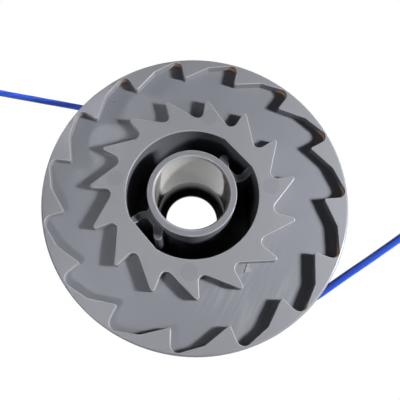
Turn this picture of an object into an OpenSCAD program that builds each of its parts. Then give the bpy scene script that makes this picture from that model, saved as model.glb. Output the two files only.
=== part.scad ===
// Line spool of a string trimmer head, tooth side up.
// Origin at the centre of the lower face, +Z up, +X through the flat of the spring well.

/* [Spool] */
// Height from the lower face to the tooth tops
spool_height = 40; // [38:0.5:46]
// Diameter of the toothed top flange
top_flange_d = 101; // [98:0.5:106]
// Diameter of the plain lower flange
lower_flange_d = 98; // [90:0.5:99]
// Thickness of the lower flange
lower_flange_t = 3; // [2:0.1:4]
// Diameter of the partition between the two windings
partition_d = 92; // [86:0.5:96]
// Thickness of the partition
partition_t = 2; // [1.6:0.1:2.4]
// Edge break on the rims of the flanges and the partition
rim_chamfer = 0.4; // [0.2:0.05:0.6]

/* [Ratchet recess] */
// Number of teeth on the ring and on the star
tooth_count = 15; // [13:1:17]
// Angle from +X to the first ring tooth
tooth_phase = 3.5; // [0:0.5:24]
// Depth of the tooth recess in the top face
recess_depth = 3.2; // [2.6:0.1:4]
// Thickness of the floor below the recess
recess_floor_t = 2.2; // [1.8:0.1:2.6]
// Least wall between a ring tooth gap and the rim
ring_rim_wall = 0.9; // [0.8:0.05:1.4]
// Height of the ring teeth, from gap to tip
ring_tooth_h = 6.6; // [5.5:0.1:7.2]
// Rounding at the bottom of the ring tooth gaps
ring_gap_round = 2.3; // [1.6:0.1:2.6]
// Rounding of the ring tooth tips
ring_tip_round = 0.6; // [0.4:0.05:0.9]
// Inset of the bend in the long side of a ring tooth
ring_bend_inset = 2.2; // [1.6:0.1:2.8]
// Radius to the tips of the star teeth
star_tip_r = 34.2; // [33:0.1:35]
// Height of the star teeth, from gap to tip
star_tooth_h = 7.1; // [6:0.1:7.8]
// Rounding at the bottom of the star tooth gaps
star_gap_round = 2; // [1.4:0.1:2.4]
// Rounding of the star tooth tips
star_tip_round = 0.8; // [0.5:0.05:1]

/* [Hub] */
// Outside diameter of the hub tube
tube_d = 29.8; // [28.6:0.1:31]
// Diameter of the bore in the hub tube
bore_d = 24.7; // [23:0.1:25.5]
// Lead-in chamfer of the bore
bore_chamfer = 0.5; // [0.3:0.05:0.8]
// Diameter of the hole through the lip at the foot of the bore
lip_hole_d = 20; // [17:0.5:22]
// Thickness of the lip at the foot of the bore
lip_t = 1.4; // [1:0.1:2.5]
// Diameter of the spring well round the tube
well_d = 44; // [42:0.5:46]
// Distance from the axis to each flat of the spring well
well_flat = 21; // [20.4:0.1:21.2]
// Wall between the spring well and the windings
drum_wall = 2; // [1.6:0.1:3]

/* [Claws] */
// Depth of the claw tops below the tooth tops
claw_drop = 5; // [3:0.5:8]
// Wall of a claw between its pocket and the tube
claw_wall = 1.4; // [1.2:0.1:1.6]
// Radius of the round ends of the pocket
pocket_r = 2; // [1.8:0.05:2.1]
// Distance between the centres of the pocket's round ends
pocket_l = 1.45; // [1:0.05:1.6]
// Sideways place of the bend where the long arm turns to the drum
bend_y = -3.15; // [-3.4:0.05:-2.9]
// Width of the long arm
arm_w = 2.5; // [2.2:0.1:3]
// Fillet where the long arm leaves the tube
arm_fillet = 1.5; // [1:0.1:1.8]
// Rise of the ramp where the long arm meets the drum
arm_ramp = 1.3; // [0.8:0.1:2]
// Reach of the short finger beyond the tube
finger_l = 4; // [3.6:0.1:4.2]
// Radius of the knob that ends the short finger
knob_r = 1.5; // [1.3:0.05:1.7]
// Sideways place of the knob
knob_y = 2.75; // [2.5:0.05:3]

/* [Trimmer line] */
// Diameter of the nylon line
line_d = 2.4; // [2:0.1:2.7]
// How far turns that lie side by side are pressed into each other
line_press = 0.04; // [0.02:0.01:0.08]
// Least play between a winding and the flanges beside it
winding_play = 0.3; // [0.2:0.05:0.4]
// Radius to the line centres of the outer layer
winding_r = 38.3; // [34:0.1:38.5]
// Angle from +X to the notch where the line passes the partition
notch_angle = 262; // [250:1:290]
// Clearance on each side of the line in the notch
notch_clearance = 0.4; // [0.2:0.05:0.6]

/* [Hidden] */
eps = 0.01;
round_facets = 96;
arc_step = 15;

// Heights
top_flange_t = recess_depth + recess_floor_t;
winding_space = (spool_height - top_flange_t - partition_t - lower_flange_t) / 2;
partition_z = lower_flange_t + winding_space;
top_flange_z = spool_height - top_flange_t;
recess_z = spool_height - recess_depth;
claw_z = spool_height - claw_drop;

// Radii
drum_r = well_d / 2 + drum_wall;
line_r = line_d / 2;
line_facets = 32;

// Claws, drawn on +X: the middle of the bend and of the knob, the sides of the long arm, and
// how deep their outline starts in the tube's wall
pocket_x = tube_d / 2 + claw_wall + pocket_r;
knob_x = tube_d / 2 + finger_l - knob_r;
arm_inner_y = bend_y - pocket_r;
arm_outer_y = arm_inner_y - arm_w;
inside_drum_x = well_d / 2 + drum_wall / 2;
claw_root = 0.3;

// Windings: full layers, then an outer layer in the grooves of the last full one
turn_pitch = line_d - line_press;
turns_across = floor((winding_space - 2 * winding_play - line_press) / turn_pitch);
layer_step = 0.8 * line_d;
full_layer_r = winding_r - layer_step;
fill_r = winding_r - line_r + 0.1;
lower_first_z = lower_flange_t + winding_space / 2 - (turns_across - 1) * turn_pitch / 2;
upper_first_z = lower_first_z + winding_space + partition_t;
lower_last_groove_z = lower_first_z + (turns_across - 1.5) * turn_pitch;
upper_last_groove_z = upper_first_z + turn_pitch / 2;

// The last turn of each winding climbs out of it over half a turn, round a centre set off by this
climb_offset = 1.5;

pitch_angle = 360 / tooth_count;
ring_gap_r = top_flange_d / 2 - ring_rim_wall;
ring_tip_r = ring_gap_r - ring_tooth_h;
star_gap_r = star_tip_r - star_tooth_h;
ring_bend_round = 1;

// Turns of the circle centres from the tooth tip, as shares of the pitch
ring_tip_turn = -0.008;
ring_gap_turn = 0.164;
ring_bend_turn = 0.54;
star_tip_turn = -0.021;
star_gap_turn = 0.205;

// Raised mark on the recess floor
floor_mark_h = 0.2;
floor_mark_corners = [[-4.6, -30], [-2.3, -31.1], [-1.7, -28.5]];

// Line tails: centre points chosen along the line where it runs free, up to its cut end.
// Their heights count from the groove that the line leaves.
tail_left_route = [
    [23.2, 31, 0], [19.1, 35.1, 0], [15, 39.2, 0], [11, 43.2, 0], [7, 47.3, 0],
    [3, 51.3, 0.1], [-0.7, 55, 1.6], [-4.5, 58.8, 3.2], [-8.2, 62.6, 4.8], [-11.9, 66.3, 6.5],
    [-15.6, 70, 8.1], [-19.3, 73.8, 9.7], [-23, 77.5, 11.3], [-26.6, 81.2, 12.9],
    [-30.3, 85, 14.6]];
tail_right_route = [
    [-32.3, -21.5, 0], [-28.7, -26.5, 0], [-24.9, -31.1, 0], [-20.6, -35.3, 0],
    [-16, -39.1, 0], [-11, -42.4, 0], [-5.7, -45.3, 0], [-0.1, -47.5, 0], [5.6, -49.2, 0],
    [11.5, -50.4, 0.2], [17.6, -51.2, 1.5], [23.6, -52, 2.9], [29.7, -52.9, 4.3],
    [35.7, -53.7, 5.7], [41.8, -54.5, 7.2], [47.8, -55.3, 8.6]];
tail_sides = 8;

// Outlines drawn as a belt round circles.
// A circle is [x, y, r]: the belt passes outside it when r is positive, and bends back
// round it, as at the bottom of a tooth gap, when r is negative.

function polar(r, a) = [r * cos(a), r * sin(a)];

// Angle of the belt's outward normal on its way from circle a to circle b
function belt_normal(a, b) =
    let (d = [b.x - a.x, b.y - a.y])
    atan2(d.y, d.x) - acos((a.z - b.z) / norm(d));

// An angle difference brought into the range -180 to 180
function half_turn(a) = a - 360 * floor((a + 180) / 360);

// Arc of the belt on one circle, from the normal before it to the normal after it
function belt_arc(c, from, to) =
    let (sweep = half_turn(to - from), steps = max(1, ceil(abs(sweep) / arc_step)))
    c.z == 0 ? [[c.x, c.y]]
    : [for (i = [0 : steps]) let (a = from + sweep * i / steps) [c.x, c.y] + c.z * [cos(a), sin(a)]];

function belt(circles) =
    let (n = len(circles))
    [for (i = [0 : n - 1])
        let (before = circles[(i + n - 1) % n], here = circles[i], after = circles[(i + 1) % n])
        each belt_arc(here, belt_normal(before, here), belt_normal(here, after))];

// One circle of every tooth, at its radius and its share of the pitch
function tooth_circle(phase, i, share, r, round) =
    let (p = polar(r, phase + (i + share) * pitch_angle)) [p.x, p.y, round];

// Recess inside the ring teeth: gaps bulge outward, tips bite inward
function ring_recess() = belt([
    for (i = [0 : tooth_count - 1])
    each [
        tooth_circle(tooth_phase, i, ring_tip_turn, ring_tip_r + ring_tip_round, -ring_tip_round),
        tooth_circle(tooth_phase, i, ring_gap_turn, ring_gap_r - ring_gap_round, ring_gap_round),
        tooth_circle(tooth_phase, i, ring_bend_turn,
            ring_gap_r - ring_bend_inset - ring_bend_round, ring_bend_round)]]);

// Star teeth stand half a pitch on from the ring teeth
function star() = belt([
    for (i = [0 : tooth_count - 1])
    each [
        tooth_circle(tooth_phase + pitch_angle / 2, i, star_tip_turn,
            star_tip_r - star_tip_round, star_tip_round),
        tooth_circle(tooth_phase + pitch_angle / 2, i, star_gap_turn,
            star_gap_r + star_gap_round, -star_gap_round)]]);

// Half section of a flange or partition with broken rim edges
function disc_profile(r, z, t) = [
    [0, z], [r - rim_chamfer, z], [r, z + rim_chamfer],
    [r, z + t - rim_chamfer], [r - rim_chamfer, z + t], [0, z + t]];

module revolve(profile) {
    rotate_extrude($fn = round_facets) polygon(profile);
}

module spool_outside() {
    revolve(disc_profile(lower_flange_d / 2, 0, lower_flange_t));
    revolve(disc_profile(partition_d / 2, partition_z, partition_t));
    revolve(disc_profile(top_flange_d / 2, top_flange_z, top_flange_t));
    cylinder(r = drum_r, h = recess_z, $fn = round_facets);
}

// Tooth recess in the top face, round the star
module ratchet_recess() {
    translate([0, 0, recess_z])
        linear_extrude(height = recess_depth + 1)
            difference() {
                polygon(ring_recess());
                polygon(star());
            }
}

// Round well with two flats
module well_outline() {
    intersection() {
        circle(d = well_d, $fn = round_facets);
        square([2 * well_flat, well_d], center = true);
    }
}

// Centre of a circle of radius r that touches the tube and circle c from outside, clockwise of c
function fillet_centre(c, r) =
    let (from_axis = tube_d / 2 + r, from_c = c.z + r, d = norm([c.x, c.y]))
    polar(from_axis, atan2(c.y, c.x)
        - acos((pow(from_axis, 2) + pow(d, 2) - pow(from_c, 2)) / (2 * from_axis * d)));

// Point just inside the tube's wall, on the line from the axis to p
function in_tube(p) = polar(tube_d / 2 - claw_root, atan2(p.y, p.x));

// Claw on the tube: a long arm bends round a pocket to the drum, and a short finger ends in a knob
function claw_outline() =
    let (bend = [pocket_x, bend_y, pocket_r + arm_w], knob = [knob_x, knob_y, knob_r],
        fillet = fillet_centre(bend, arm_fillet), root = in_tube(fillet), neck = in_tube(knob))
    belt([
        [root.x, root.y, 0],
        [fillet.x, fillet.y, -arm_fillet],
        bend,
        [inside_drum_x, arm_outer_y, 0],
        [inside_drum_x, arm_inner_y, 0],
        [pocket_x, bend_y, -pocket_r],
        [pocket_x, bend_y + pocket_l, -pocket_r],
        knob,
        [neck.x, neck.y, 0]]);

module claw() {
    linear_extrude(height = claw_z) polygon(claw_outline());
    translate([0, arm_inner_y, claw_z])
        rotate([90, 0, 0])
            linear_extrude(height = arm_w)
                polygon([
                    [pocket_x, -eps], [inside_drum_x, -eps],
                    [inside_drum_x, arm_ramp], [well_flat, arm_ramp], [pocket_x, 0]]);
}

module spring_well() {
    difference() {
        translate([0, 0, lower_flange_t])
            linear_extrude(height = spool_height) well_outline();
        cylinder(d = tube_d, h = spool_height, $fn = round_facets);
        claw();
        rotate([0, 0, 180]) claw();
    }
}

module hub_bore() {
    translate([0, 0, lip_t]) cylinder(d = bore_d, h = spool_height, $fn = round_facets);
    translate([0, 0, -1]) cylinder(d = lip_hole_d, h = spool_height, $fn = round_facets);
    translate([0, 0, spool_height - bore_chamfer])
        cylinder(d1 = bore_d, d2 = bore_d + 2 * bore_chamfer + 2 * eps,
            h = bore_chamfer + eps, $fn = round_facets);
}

// Slot through the partition, from its rim to the drum
module partition_notch() {
    notch_w = line_d + 2 * notch_clearance;
    rotate([0, 0, notch_angle])
        translate([drum_r, 0, partition_z - eps]) {
            translate([notch_w / 2, -notch_w / 2, 0])
                cube([partition_d / 2, notch_w, partition_t + 2 * eps]);
            translate([notch_w / 2, 0, 0])
                cylinder(d = notch_w, h = partition_t + 2 * eps, $fn = 32);
        }
}

// Small raised three-cornered mark on the recess floor
module floor_mark() {
    translate([0, 0, recess_z - eps])
        linear_extrude(height = floor_mark_h + eps) polygon(floor_mark_corners);
}

module spool_body() {
    color([0.54, 0.545, 0.565]) {
        difference() {
            spool_outside();
            ratchet_recess();
            spring_well();
            hub_bore();
            partition_notch();
        }
        floor_mark();
    }
}

// Section of one winding: full layers, and the outer layer's turns that go all the way round
module winding_section(first_z, outer_turns) {
    translate([drum_r, first_z - line_r])
        square([full_layer_r - drum_r, (turns_across - 1) * turn_pitch + line_d]);
    translate([drum_r, first_z])
        square([fill_r - drum_r, (turns_across - 1) * turn_pitch]);
    for (i = [0 : turns_across - 1])
        translate([full_layer_r, first_z + i * turn_pitch]) circle(d = line_d, $fn = line_facets);
    for (i = outer_turns)
        translate([winding_r, first_z + (i + 0.5) * turn_pitch])
            circle(d = line_d, $fn = line_facets);
}

// Angle at which the line leaves the outer layer, to run straight to its tail's first point
function tail_start_r(route) = norm([route[0].x, route[0].y]);
function leave_angle(route) =
    atan2(route[0].y, route[0].x) - acos(winding_r / tail_start_r(route));

// Last turn: it climbs out of the winding and leaves straight to the tail
module last_turn(route, z) {
    translate([0, 0, z])
        rotate([0, 0, leave_angle(route)]) {
            translate([climb_offset, 0, 0])
                rotate([0, 0, -180])
                    rotate_extrude(angle = 180, $fn = round_facets)
                        translate([winding_r - climb_offset, 0])
                            circle(d = line_d, $fn = line_facets);
            translate([winding_r, 0, 0])
                rotate([-90, 0, 0])
                    cylinder(d = line_d, $fn = line_facets,
                        h = sqrt(pow(tail_start_r(route), 2) - pow(winding_r, 2)));
        }
}

// The line is one length, folded through the notch and wound on both sides of the partition
module line_winding() {
    fold_r = drum_r + notch_clearance + line_r;
    color([0.17, 0.29, 0.72]) {
        rotate_extrude($fn = round_facets)
            winding_section(lower_first_z, [for (i = [0 : turns_across - 3]) i]);
        rotate_extrude($fn = round_facets)
            winding_section(upper_first_z, [for (i = [1 : turns_across - 2]) i]);
        last_turn(tail_left_route, lower_last_groove_z);
        last_turn(tail_right_route, upper_last_groove_z);
        rotate([0, 0, notch_angle])
            translate([fold_r, 0, partition_z - line_d])
                cylinder(d = line_d, h = partition_t + 2 * line_d, $fn = line_facets);
    }
}

// Direction of a route at point i; it starts along the straight piece that leaves the winding
function unit(v) = v / norm(v);
function route_direction(p, i) =
    i == 0 ? [-sin(leave_angle(p)), cos(leave_angle(p)), 0]
    : i == len(p) - 1 ? unit(p[i] - p[i - 1])
    : unit(unit(p[i] - p[i - 1]) + unit(p[i + 1] - p[i]));

// Ring of corners round point i, square to the route
function route_ring(p, i) =
    let (t = route_direction(p, i), side = unit(cross([0, 0, 1], t)), up = cross(t, side))
    [for (k = [0 : tail_sides - 1])
        let (a = (k + 0.5) * 360 / tail_sides) p[i] + line_r * (cos(a) * side + sin(a) * up)];

module tail(p) {
    n = len(p);
    s = tail_sides;
    corners = [for (i = [0 : n - 1]) each route_ring(p, i)];
    walls = [for (i = [0 : n - 2], k = [0 : s - 1])
        [i * s + k, (i + 1) * s + k, (i + 1) * s + (k + 1) % s, i * s + (k + 1) % s]];
    start_face = [for (k = [0 : s - 1]) k];
    cut_face = [for (k = [s - 1 : -1 : 0]) (n - 1) * s + k];
    color([0.17, 0.29, 0.72])
        polyhedron(points = corners, faces = concat([start_face, cut_face], walls));
}

module line_tail_left() {
    translate([0, 0, lower_last_groove_z]) tail(tail_left_route);
}

module line_tail_right() {
    translate([0, 0, upper_last_groove_z]) tail(tail_right_route);
}

spool_body();
line_winding();
line_tail_left();
line_tail_right();
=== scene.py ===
# A spool of blue trimmer line, tooth side up, on a white sweep of paper.
# Lengths are in metres; the axis of the hub is the Z axis and the lower face lies at height 0.
import math

import bmesh
import bpy
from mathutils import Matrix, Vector


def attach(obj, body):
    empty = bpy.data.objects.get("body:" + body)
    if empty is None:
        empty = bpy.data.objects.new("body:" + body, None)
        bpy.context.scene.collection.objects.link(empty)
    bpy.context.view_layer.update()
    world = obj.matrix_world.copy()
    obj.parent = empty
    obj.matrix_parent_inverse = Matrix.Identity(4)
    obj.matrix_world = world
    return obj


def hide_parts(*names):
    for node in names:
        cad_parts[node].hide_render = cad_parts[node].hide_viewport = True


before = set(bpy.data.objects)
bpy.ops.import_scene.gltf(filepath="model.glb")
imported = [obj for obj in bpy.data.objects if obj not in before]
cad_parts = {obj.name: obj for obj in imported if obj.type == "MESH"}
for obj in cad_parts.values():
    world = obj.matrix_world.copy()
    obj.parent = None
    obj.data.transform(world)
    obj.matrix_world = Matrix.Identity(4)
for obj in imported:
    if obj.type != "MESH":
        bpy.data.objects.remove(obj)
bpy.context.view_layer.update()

scene = bpy.context.scene
scene.view_settings.view_transform = "Standard"

# Camera. It looks steeply down at the toothed side from a hand's length away,
# so the teeth, the well and the bore all show, and the far rim runs out smaller.

camera_data = bpy.data.cameras.new("camera")
camera_data.sensor_width = 36
camera_data.lens = 48.93
camera_data.shift_x = 0.1197
camera_data.shift_y = -0.1717
camera_data.clip_start = 0.01
camera_data.clip_end = 20
camera = bpy.data.objects.new("camera", camera_data)
camera.location = (-0.03524, -0.03895, 0.21367)
camera.rotation_euler = [math.radians(a) for a in (23.226, 3.684, -40.016)]
scene.collection.objects.link(camera)
scene.camera = camera

# Free ends of the line. The real ones are the two ends of one length of blue nylon line,
# 2.4 mm thick and stiff, cut square; each runs straight off its winding and springs outward.

LINE_D = 0.0024
LOWER_GROOVE_Z = 0.01512
UPPER_GROOVE_Z = 0.02248

# Height of the groove that each end leaves, and its route from there in millimetres, the third
# number being the rise above the groove. The points are those of part.scad, except that the right
# end stops 0.1 mm further in: the round line is fuller than its eight-sided solid.
tail_routes = {
    "line_tail_left": (LOWER_GROOVE_Z, [
        (23.2, 31, 0), (19.1, 35.1, 0), (15, 39.2, 0), (11, 43.2, 0), (7, 47.3, 0),
        (3, 51.3, 0.1), (-0.7, 55, 1.6), (-4.5, 58.8, 3.2), (-8.2, 62.6, 4.8),
        (-11.9, 66.3, 6.5), (-15.6, 70, 8.1), (-19.3, 73.8, 9.7), (-23, 77.5, 11.3),
        (-26.6, 81.2, 12.9), (-30.3, 85, 14.6)]),
    "line_tail_right": (UPPER_GROOVE_Z, [
        (-32.3, -21.5, 0), (-28.7, -26.5, 0), (-24.9, -31.1, 0), (-20.6, -35.3, 0),
        (-16, -39.1, 0), (-11, -42.4, 0), (-5.7, -45.3, 0), (-0.1, -47.5, 0), (5.6, -49.2, 0),
        (11.5, -50.4, 0.2), (17.6, -51.2, 1.5), (23.6, -52, 2.9), (29.7, -52.9, 4.3),
        (35.7, -53.7, 5.7), (41.8, -54.5, 7.2), (47.8, -55.2, 8.6)]),
}


class Board:
    """Adds nodes to one node tree. A value may be a socket, which is linked, or a constant."""

    def __init__(self, tree):
        self.nodes, self.links = tree.nodes, tree.links

    def feed(self, socket, value):
        if isinstance(value, bpy.types.NodeSocket):
            self.links.new(value, socket)
        else:
            socket.default_value = value

    def add(self, kind, *values, named=None, **settings):
        """A node with these settings; values feed its first sockets, named the ones it names."""
        node = self.nodes.new(kind)
        for name, setting in settings.items():
            setattr(node, name, setting)
        for socket, value in zip(node.inputs, values):
            self.feed(socket, value)
        for name, value in (named or {}).items():
            self.feed(node.inputs[name], value)
        return node

    def calc(self, operation, *values):
        return self.add("ShaderNodeMath", *values, operation=operation).outputs[0]

    def all_of(self, *factors):
        product = factors[0]
        for factor in factors[1:]:
            product = self.calc("MULTIPLY", product, factor)
        return product

    def between(self, value, low, high, low_gives=0, high_gives=1):
        """Runs smoothly from 0 at low to 1 at high; high may be the lower one."""
        return self.add("ShaderNodeMapRange", value, low, high, low_gives, high_gives,
                        interpolation_type="SMOOTHSTEP").outputs[0]

    def distance(self, place, middle):
        return self.add("ShaderNodeVectorMath", place, middle,
                        operation="DISTANCE").outputs["Value"]

    def mix_colour(self, factor, low, high):
        mix = self.add("ShaderNodeMix", factor, data_type="RGBA")
        for socket, colour in ((mix.inputs[6], low), (mix.inputs[7], high)):
            self.feed(socket, (*colour, 1) if isinstance(colour, tuple) else colour)
        return mix.outputs[2]


def new_group(name, kind, inputs, outputs):
    """A node group with its sockets, each given as name, kind and, where it has one, value."""
    group = bpy.data.node_groups.new(name, kind)
    for side, sockets in (("INPUT", inputs), ("OUTPUT", outputs)):
        for label, socket_kind, *value in sockets:
            socket = group.interface.new_socket(label, in_out=side,
                                                socket_type="NodeSocket" + socket_kind)
            if value:
                socket.default_value = value[0]
    board = Board(group)
    return (group, board, board.add("NodeGroupInput").outputs,
            board.add("NodeGroupOutput").inputs)


def plastic_grain_group():
    """Uneven tone and fine grain of moulded or drawn plastic."""
    group, board, given, result = new_group(
        "plastic_grain", "ShaderNodeTree",
        (("Place", "Vector"), ("Cloud Scale", "Float", 60), ("Grain Scale", "Float", 2500)),
        (("Cloud", "Float"), ("Grain", "Float")))
    for output, detail in (("Cloud", 3), ("Grain", 2)):
        noise = board.add("ShaderNodeTexNoise", named={
            "Vector": given["Place"], "Scale": given[output + " Scale"], "Detail": detail})
        board.feed(result[output], noise.outputs["Fac"])
    return group


plastic_grain = plastic_grain_group()


def new_plastic(name, base_color, roughness, **grain_scales):
    """A material, its node board and shader sockets, its place on the piece, and its grain."""
    material = bpy.data.materials.new(name)
    material.use_nodes = True
    board = Board(material.node_tree)
    shader = board.nodes["Principled BSDF"].inputs
    shader["Base Color"].default_value = (*base_color, 1)
    shader["Roughness"].default_value = roughness
    place = board.add("ShaderNodeTexCoord").outputs["Object"]
    grain = board.add("ShaderNodeGroup", place, node_tree=plastic_grain)
    for scale, value in grain_scales.items():
        grain.inputs[scale.title() + " Scale"].default_value = value
    return material, board, shader, place, grain.outputs


def add_relief(board, shader, height, strength):
    """Fine relief, a tenth of a millimetre deep at full strength."""
    bump = board.add("ShaderNodeBump", named={
        "Strength": strength, "Distance": 0.0001, "Height": height})
    board.feed(shader["Normal"], bump.outputs["Normal"])


def nylon_line_material():
    material, board, shader, place, grain = new_plastic(
        "nylon_line", (0.028, 0.082, 0.53), 0.24, cloud=90, grain=1400)
    board.feed(shader["Base Color"], board.mix_colour(
        grain["Cloud"], (0.025, 0.075, 0.5), (0.032, 0.092, 0.58)))
    add_relief(board, shader, grain["Grain"], 0.15)
    return material


nylon_line = nylon_line_material()

for name, (height, route) in tail_routes.items():
    curve = bpy.data.curves.new(name + "_free", "CURVE")
    curve.dimensions = "3D"
    curve.resolution_u = 4
    curve.bevel_depth = LINE_D / 2
    curve.bevel_resolution = 4
    curve.use_fill_caps = True
    spline = curve.splines.new("BEZIER")
    spline.bezier_points.add(len(route) - 1)
    points = [Vector((x / 1000, y / 1000, z / 1000 + height)) for x, y, z in route]
    for knot, point in zip(spline.bezier_points, points):
        knot.co = point
        knot.handle_left_type = knot.handle_right_type = "AUTO"
    curve.materials.append(nylon_line)
    tail = bpy.data.objects.new(name + "_free", curve)
    scene.collection.objects.link(tail)
    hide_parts(name)
    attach(tail, "root")

# Windings. The line is laid side by side on the drum, layer on layer, with each turn
# stepping over at the same place; the last turn of each side runs straight off to its tail.

TURN_PITCH = 0.00236
TURNS_ACROSS = 6
LAYER_DEPTH = 0.0019
OUTER_LAYER_R = 0.0383
FULL_LAYER_R = 0.03638
LAYER_GAP = 0.02
INNER_END = 1.2
INNER_STUB = 0.0001
LOWER_FIRST_Z = 0.0045
UPPER_FIRST_Z = 0.0213
COIL_POINTS = 480


def wound_line_tree():
    """Line laid as a coil that steps from turn to turn, with a straight piece at its end."""
    tree, board, given, result = new_group(
        "wound_line", "GeometryNodeTree",
        (("Points", "Int", 400), ("Turns", "Float", 5), ("Radius", "Float", 0.03),
         ("Sunk", "Float", 0), ("First Height", "Float", 0), ("Rise", "Float", 0.002),
         ("End Angle", "Float", 0), ("Step Share", "Float", 0.07),
         ("Line Diameter", "Float", 0.002), ("Straight Length", "Float", 0),
         ("Material", "Material")),
        (("Geometry", "Geometry"),))
    add, calc = board.add, board.calc

    # The coil: each point's turn, the whole turns done by then, and the step to the next one
    turn = calc("MULTIPLY", given["Turns"],
                calc("DIVIDE", add("GeometryNodeInputIndex").outputs[0],
                     calc("SUBTRACT", given["Points"], 1)))
    done = calc("FLOOR", calc("ADD", turn, 1e-4))
    step = board.between(calc("SUBTRACT", turn, done), calc("SUBTRACT", 1, given["Step Share"]), 1)
    height = calc("MULTIPLY_ADD", calc("ADD", done, step), given["Rise"], given["First Height"])
    radius = calc("SUBTRACT", given["Radius"], board.between(turn, 0, 0.1, given["Sunk"], 0))
    angle = calc("MULTIPLY_ADD", calc("SUBTRACT", turn, given["Turns"]), math.tau,
                 given["End Angle"])
    point = add("ShaderNodeCombineXYZ", calc("MULTIPLY", radius, calc("COSINE", angle)),
                calc("MULTIPLY", radius, calc("SINE", angle)), height)
    dots = add("GeometryNodeMeshLine", named={"Count": given["Points"]})
    laid = add("GeometryNodeSetPosition", dots.outputs[0], named={"Position": point.outputs[0]})
    coil = add("GeometryNodeMeshToCurve", laid.outputs[0])

    # The straight piece, off the coil's end along its tangent
    cosine, sine = (calc(kind, given["End Angle"]) for kind in ("COSINE", "SINE"))
    end_height = calc("MULTIPLY_ADD", calc("FLOOR", given["Turns"]), given["Rise"],
                      given["First Height"])
    end = add("ShaderNodeCombineXYZ", calc("MULTIPLY", given["Radius"], cosine),
              calc("MULTIPLY", given["Radius"], sine), end_height)
    away = add("ShaderNodeCombineXYZ", calc("MULTIPLY", sine, -1), cosine)
    off = add("GeometryNodeCurvePrimitiveLine", mode="DIRECTION", named={
        "Start": end.outputs[0], "Direction": away.outputs[0],
        "Length": given["Straight Length"]})

    both = add("GeometryNodeJoinGeometry", coil.outputs[0])
    board.feed(both.inputs[0], off.outputs[0])
    section = add("GeometryNodeCurvePrimitiveCircle", named={
        "Resolution": 12, "Radius": calc("MULTIPLY", given["Line Diameter"], 0.5)})
    swept = add("GeometryNodeCurveToMesh", named={
        "Curve": both.outputs[0], "Profile Curve": section.outputs[0], "Fill Caps": True})
    real = add("GeometryNodeRealizeInstances", swept.outputs[0])
    coloured = add("GeometryNodeSetMaterial", named={
        "Geometry": real.outputs[0], "Material": given["Material"]})
    board.feed(result[0], coloured.outputs[0])
    return tree


wound_line = wound_line_tree()


def wind(**inputs):
    """Runs the tree with these inputs and keeps the result as a plain mesh."""
    maker = bpy.data.objects.new("line_maker", bpy.data.meshes.new("line_maker"))
    scene.collection.objects.link(maker)
    modifier = maker.modifiers.new("wound_line", "NODES")
    modifier.node_group = wound_line
    sockets = {s.name: s.identifier for s in wound_line.interface.items_tree
               if s.in_out == "INPUT"}
    inputs.update(points=COIL_POINTS, line_diameter=LINE_D, material=nylon_line)
    for key, value in inputs.items():
        modifier[sockets[key.replace("_", " ").title()]] = value
    maker.update_tag()
    mesh = bpy.data.meshes.new_from_object(
        maker.evaluated_get(bpy.context.evaluated_depsgraph_get()))
    bpy.data.objects.remove(maker)
    return mesh


def leaving(route):
    """Angle at which the line leaves its winding for the tail, and how far it then runs."""
    x, y, _ = route[0]
    reach = math.hypot(x, y) / 1000
    return (math.atan2(y, x) - math.acos(OUTER_LAYER_R / reach),
            math.sqrt(reach ** 2 - OUTER_LAYER_R ** 2))


layers = []
for name, first_z, rise in (("line_tail_left", LOWER_FIRST_Z, TURN_PITCH),
                            ("line_tail_right", UPPER_FIRST_Z, -TURN_PITCH)):
    groove_z, route = tail_routes[name]
    leave_angle, straight = leaving(route)
    laid_from = groove_z - rise * (TURNS_ACROSS - 2)
    bottom_turn = first_z if rise > 0 else first_z - rise * (TURNS_ACROSS - 1)
    # The outer layer climbs out of the one below it, and isn't full
    layers.append(wind(turns=TURNS_ACROSS - 1.25, radius=OUTER_LAYER_R, sunk=LAYER_DEPTH,
                       first_height=laid_from, rise=rise, end_angle=leave_angle,
                       straight_length=straight))
    for radius, turns, start in (
            (FULL_LAYER_R, TURNS_ACROSS - LAYER_GAP, bottom_turn),
            (FULL_LAYER_R - LAYER_DEPTH, TURNS_ACROSS - 1 - LAYER_GAP, bottom_turn + rise / 2)):
        layers.append(wind(turns=turns, radius=radius, sunk=0.0, first_height=start, rise=rise,
                           end_angle=leave_angle + INNER_END, straight_length=INNER_STUB))
wound = bmesh.new()
for mesh in layers:
    wound.from_mesh(mesh)
    bpy.data.meshes.remove(mesh)
bmesh.ops.recalc_face_normals(wound, faces=wound.faces)
for face in wound.faces:
    face.smooth = len(face.verts) == 4
winding_mesh = bpy.data.meshes.new("line_wound")
wound.to_mesh(winding_mesh)
wound.free()
winding_mesh.materials.append(nylon_line)
winding = bpy.data.objects.new("line_wound", winding_mesh)
scene.collection.objects.link(winding)
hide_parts("line_winding")
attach(winding, "root")

# Spool body. One satin grey moulding: flanges, drum, tooth ring and star, well and hub tube.
# Its edges came out of the mould slightly rounded, and a painted highlight lightens them.

EDGE_ROUND = 0.00027
SHARP_EDGE = math.radians(32)
ROUNDED_ALIKE = math.radians(53)
FLOOR_MARK_MIDDLE = Vector((-0.0029, -0.0299, 0.037))
FLOOR_MARK_REACH = 0.0025


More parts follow.
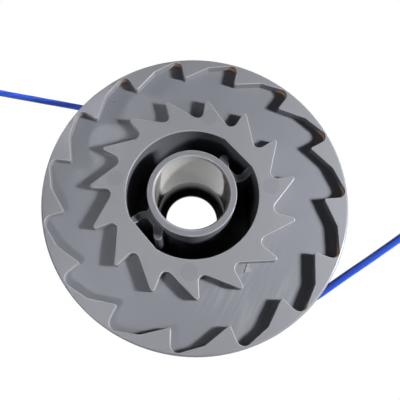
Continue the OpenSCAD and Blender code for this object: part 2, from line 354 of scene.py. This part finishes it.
def moulded_copy(node, width):
    """The node's shape with its edges rounded; a face attribute is 1 on the faces that round them,
    and marks where the painted edge highlight goes.
    """
    body = bmesh.new()
    body.from_mesh(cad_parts[node].data)
    bmesh.ops.remove_doubles(body, verts=body.verts, dist=2e-6)
    bmesh.ops.dissolve_degenerate(body, dist=1e-6, edges=body.edges)
    sharp = [e for e in body.edges
             if e.is_convex and e.calc_face_angle(0) > SHARP_EDGE
             and (e.verts[0].co - FLOOR_MARK_MIDDLE).length > FLOOR_MARK_REACH]
    rounded_layer = body.faces.layers.float.new("rounded_edge_mask")
    rounded = set(bmesh.ops.bevel(
        body, geom=sharp, offset=width, offset_type="OFFSET", segments=2, profile=0.5,
        affect="EDGES", clamp_overlap=False, loop_slide=False)["faces"])
    for face in rounded:
        face[rounded_layer] = 1
    body.normal_update()

    # Flats and walls keep their own straight normals, and only the rounded edges turn
    normals = []
    for face in body.faces:
        face.smooth = True
        alike = math.cos(ROUNDED_ALIKE if face in rounded else SHARP_EDGE)
        for vert in face.verts:
            near = [f for f in vert.link_faces if f.normal.dot(face.normal) > alike]
            straight = [f for f in near if f not in rounded]
            total = Vector()
            for other in straight or near:
                total += other.normal * other.calc_area()
            normals.append(total.normalized() if total.length else face.normal)
    mesh = bpy.data.meshes.new(node + "_moulded")
    body.to_mesh(mesh)
    mesh.normals_split_custom_set(normals)
    body.free()
    return mesh


spool_mesh = moulded_copy("spool_body", EDGE_ROUND)


def round_mark_group():
    """A round mark left by the mould: the line round it, and the disc inside."""
    group, board, given, result = new_group(
        "round_mark", "ShaderNodeTree",
        (("Place", "Vector"), ("Middle", "Vector"), ("Radius", "Float")),
        (("Line", "Float"), ("Disc", "Float")))
    reach = board.distance(given["Place"], given["Middle"])
    outside, inside = (
        board.between(reach, board.calc("MULTIPLY", given["Radius"], share), given["Radius"])
        for share in (0.93, 1.07))
    board.feed(result["Line"], board.calc("MULTIPLY", outside, inside))
    board.feed(result["Disc"], inside)
    return group


round_mark = round_mark_group()

TOOTH_TOP = 0.04
RECESS_FLOOR = 0.0368
WELL_FLOOR = 0.003
BORE_R = 0.0126
TUBE_R = 0.0149
WELL_R = 0.0222
GAP_BOTTOM_R = 0.0486
RIM_R = 0.0505
BORE_SHADE_TOP = 0.012

# Middles of the four ejector marks on the star, and of two specks of dirt, in millimetres
EJECTOR_MARKS = ((22.6, 16.4, 40), (21, -15.6, 40), (-17.9, -18.8, 40), (-16.2, 20.6, 40))
EJECTOR_R = 0.003
SPECKS = ((2, 44.8, 36.8), (-2.1, 26.7, 40))
SPECK_R = 0.0003
SCRATCHES_MIDDLE = (-0.0075, -0.035, RECESS_FLOOR)
SCRATCHES_TURN = math.radians(20)
GLOW_HEADING = math.radians(5)


def spool_plastic_material():
    material, board, shader, place, grain = new_plastic(
        "spool_plastic", (0.272, 0.28, 0.315), 0.3)
    calc, all_of, between, mix_colour = board.calc, board.all_of, board.between, board.mix_colour

    def marks(middles, mark_radius, output):
        """The strongest of the round marks with these middles, in millimetres."""
        total = 0
        for middle in middles:
            mark = board.add("ShaderNodeGroup", place, [c / 1000 for c in middle], mark_radius,
                             node_tree=round_mark)
            total = calc("MAXIMUM", total, mark.outputs[output])
        return total

    x, y, z = board.add("ShaderNodeSeparateXYZ", place).outputs
    radius = calc("SQRT", calc("ADD", calc("MULTIPLY", x, x), calc("MULTIPLY", y, y)))

    # Uneven tone of the moulding; the tops of the teeth are rubbed paler, and painted shade
    # darkens the well round the hub tube
    tone = mix_colour(grain["Cloud"], (0.268, 0.277, 0.312), (0.276, 0.285, 0.32))
    top = all_of(between(z, TOOTH_TOP - 0.0007, TOOTH_TOP - 0.0002),
                 between(radius, TUBE_R, WELL_R),
                 between(radius, RIM_R - 0.0002, RIM_R - 0.0006))
    tone = mix_colour(top, tone, (0.322, 0.33, 0.362))
    # Painted shade: the deep well between the hub tube and the star is darkened
    well = all_of(between(radius, TUBE_R - 0.0001, TUBE_R + 0.0001),
                  between(radius, WELL_R + 0.0002, WELL_R),
                  between(z, TOOTH_TOP - 0.0004, TOOTH_TOP - 0.0007),
                  between(z, WELL_FLOOR - 0.0005, WELL_FLOOR))
    tone = mix_colour(well, tone, (0.17, 0.175, 0.2))
    # Painted highlight: the rounded edges are lightened in patches, except at the outer rim
    rounded_edge_flag = board.add("ShaderNodeAttribute", attribute_name="rounded_edge_mask")
    painted_edge_highlight = all_of(rounded_edge_flag.outputs["Fac"], between(grain["Cloud"], 0.1, 0.6),
                    between(radius, RIM_R - 0.0003, RIM_R - 0.0012))
    tone = mix_colour(calc("MULTIPLY", painted_edge_highlight, 0.9), tone, (0.49, 0.49, 0.5))

    # The bore's wall is glossier, and a painted reflection makes it paler and warmer down to a
    # line; below that line painted shade makes its foot nearly black
    bore = between(radius, BORE_R + 0.0002, BORE_R)
    upper_bore_wall = all_of(bore, between(z, TOOTH_TOP - 0.0004, TOOTH_TOP - 0.0006),
                      between(z, BORE_SHADE_TOP - 0.0002, BORE_SHADE_TOP + 0.0002))
    tone = mix_colour(upper_bore_wall, tone, (0.36, 0.35, 0.333))
    painted_bore_foot_shade = all_of(bore, between(z, BORE_SHADE_TOP + 0.0002, BORE_SHADE_TOP - 0.0002),
                    between(z, 0.0003, 0.0006))
    tone = mix_colour(painted_bore_foot_shade, tone, (0.03, 0.03, 0.034))

    # Marks of the ejector pins on the star, and two specks of dirt
    pin_line = marks(EJECTOR_MARKS, EJECTOR_R, "Line")
    pin_disc = marks(EJECTOR_MARKS, EJECTOR_R, "Disc")
    tone = mix_colour(calc("MULTIPLY", pin_disc, 0.4), tone, (0.262, 0.268, 0.3))
    tone = mix_colour(calc("MULTIPLY", pin_line, 0.35), tone, (0.42, 0.42, 0.43))
    dirt = marks(SPECKS, SPECK_R, "Disc")
    tone = mix_colour(calc("MULTIPLY", dirt, 0.6), tone, (0.06, 0.06, 0.065))

    # The low mark on the recess floor, rubbed pale
    floor_mark = all_of(between(board.distance(place, FLOOR_MARK_MIDDLE), 0.0024, 0.0019),
                        between(z, RECESS_FLOOR + 0.00006, RECESS_FLOOR + 0.00014),
                        between(z, RECESS_FLOOR + 0.0004, RECESS_FLOOR + 0.0003))
    tone = mix_colour(floor_mark, tone, (0.36, 0.365, 0.39))

    # Pale scratches across one side of the recess floor, all the same way
    turned = board.add("ShaderNodeMapping", place, vector_type="TEXTURE", named={
        "Rotation": (0, 0, SCRATCHES_TURN), "Scale": (0.02, 0.0016, 1)})
    streak = board.add("ShaderNodeTexNoise", named={
        "Vector": turned.outputs[0], "Scale": 1, "Detail": 3})
    scratched = all_of(between(streak.outputs["Fac"], 0.4, 0.75),
                       between(board.distance(place, SCRATCHES_MIDDLE), 0.021, 0.009),
                       between(z, RECESS_FLOOR + 0.0003, RECESS_FLOOR + 0.0001))
    tone = mix_colour(calc("MULTIPLY", scratched, 0.42), tone, (0.44, 0.445, 0.47))
    board.feed(shader["Base Color"], tone)

    # Painted light: a warm glow is emitted at the bottom of each ring tooth gap on the side toward
    # the lamp, standing in for the lamp's light shining through the thin rim behind it
    toward_lamp = calc("DIVIDE", calc("ADD", calc("MULTIPLY", x, math.cos(GLOW_HEADING)),
                                      calc("MULTIPLY", y, math.sin(GLOW_HEADING))), radius)
    painted_glow = all_of(between(radius, GAP_BOTTOM_R, GAP_BOTTOM_R + 0.0007),
                  between(radius, RIM_R - 0.0006, RIM_R - 0.0008),
                  between(z, RECESS_FLOOR + 0.0001, RECESS_FLOOR + 0.001),
                  between(z, TOOTH_TOP - 0.0006, TOOTH_TOP - 0.0014),
                  between(toward_lamp, -0.75, 0.1))
    board.feed(shader["Emission Color"], mix_colour(painted_glow, (0, 0, 0), (0.13, 0.075, 0.037)))
    shader["Emission Strength"].default_value = 1

    # The polished wall shines more than the satin moulding
    gloss = board.add("ShaderNodeMix", upper_bore_wall)
    board.feed(gloss.inputs[2], 0.3)
    board.feed(gloss.inputs[3], 0.05)
    board.feed(shader["Roughness"], gloss.outputs[0])
    add_relief(board, shader, calc("ADD", grain["Grain"], calc("MULTIPLY", pin_line, 2)), 0.05)
    return material


spool_plastic = spool_plastic_material()
spool_mesh.materials.clear()
spool_mesh.materials.append(spool_plastic)
spool = bpy.data.objects.new("spool_moulding", spool_mesh)
scene.collection.objects.link(spool)
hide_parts("spool_body")
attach(spool, "root")

# Setting. White paper below, which the camera and every mirror-like surface see as plain
# white; a lamp low at the picture's right, a small gridded lamp close to the left rim, a
# faint softbox above, and a small reflector that lights the line in the spool's shadow.

paper = bpy.data.materials.new("paper")
paper.use_nodes = True
board = Board(paper.node_tree)
board.nodes.clear()
seen = board.add("ShaderNodeLightPath").outputs
plain_white = seen["Is Camera Ray"]
for ray in ("Is Glossy Ray", "Is Transmission Ray"):
    plain_white = board.calc("MAXIMUM", plain_white, seen[ray])
matt = board.add("ShaderNodeBsdfDiffuse", (0.8, 0.8, 0.8, 1))
white = board.add("ShaderNodeEmission")
pick = board.add("ShaderNodeMixShader", plain_white, matt.outputs[0], white.outputs[0])
board.add("ShaderNodeOutputMaterial", pick.outputs[0])

floor_mesh = bpy.data.meshes.new("floor")
floor_mesh.from_pydata([(-3, -3, 0), (3, -3, 0), (3, 3, 0), (-3, 3, 0)], [], [(0, 1, 2, 3)])
floor_mesh.materials.append(paper)
floor = bpy.data.objects.new("floor", floor_mesh)
floor.location.z = -0.0002  # a hair below the spool, so no two faces share a plane
scene.collection.objects.link(floor)

world = bpy.data.worlds.new("room")
scene.world = world
world.use_nodes = True
board = Board(world.node_tree)
board.nodes.clear()
seen = board.add("ShaderNodeLightPath").outputs
room = board.add("ShaderNodeBackground", (0.93, 0.95, 1, 1), 0.008)
backdrop = board.add("ShaderNodeBackground")
pick = board.add("ShaderNodeMixShader", seen["Is Camera Ray"], room.outputs[0],
                 backdrop.outputs[0])
board.add("ShaderNodeOutputWorld", pick.outputs[0])

HUB_TOP = (0, 0, 0.035)


def soft_lamp(name, heading, elevation, distance, size, watts, looks_at=HUB_TOP, fan=180):
    """A square lamp placed from the hub, heading counted from +X; fan is its beam in degrees."""
    data = bpy.data.lights.new(name, "AREA")
    data.size = size
    data.energy = watts
    data.spread = math.radians(fan)
    lamp = bpy.data.objects.new(name, data)
    h, e = math.radians(heading), math.radians(elevation)
    toward = Vector((math.cos(e) * math.cos(h), math.cos(e) * math.sin(h), math.sin(e)))
    lamp.location = Vector(HUB_TOP) + toward * distance
    back = lamp.location - Vector(looks_at)
    lamp.rotation_euler = back.to_track_quat("Z", "Y").to_euler()
    scene.collection.objects.link(lamp)


soft_lamp("lamp_right", heading=-50, elevation=33, distance=0.28, size=0.042, watts=1.08)
soft_lamp("gridded_lamp_left", heading=186, elevation=40, distance=0.16, size=0.03,
          watts=0.0065, looks_at=(-0.04, 0.004, 0.037), fan=54)
soft_lamp("softbox_above", heading=90, elevation=72, distance=0.6, size=0.16, watts=0.072)
soft_lamp("reflector_behind_rim", heading=118, elevation=14, distance=0.17, size=0.04,
          watts=0.019, looks_at=(-0.012, 0.058, 0.016), fan=26)
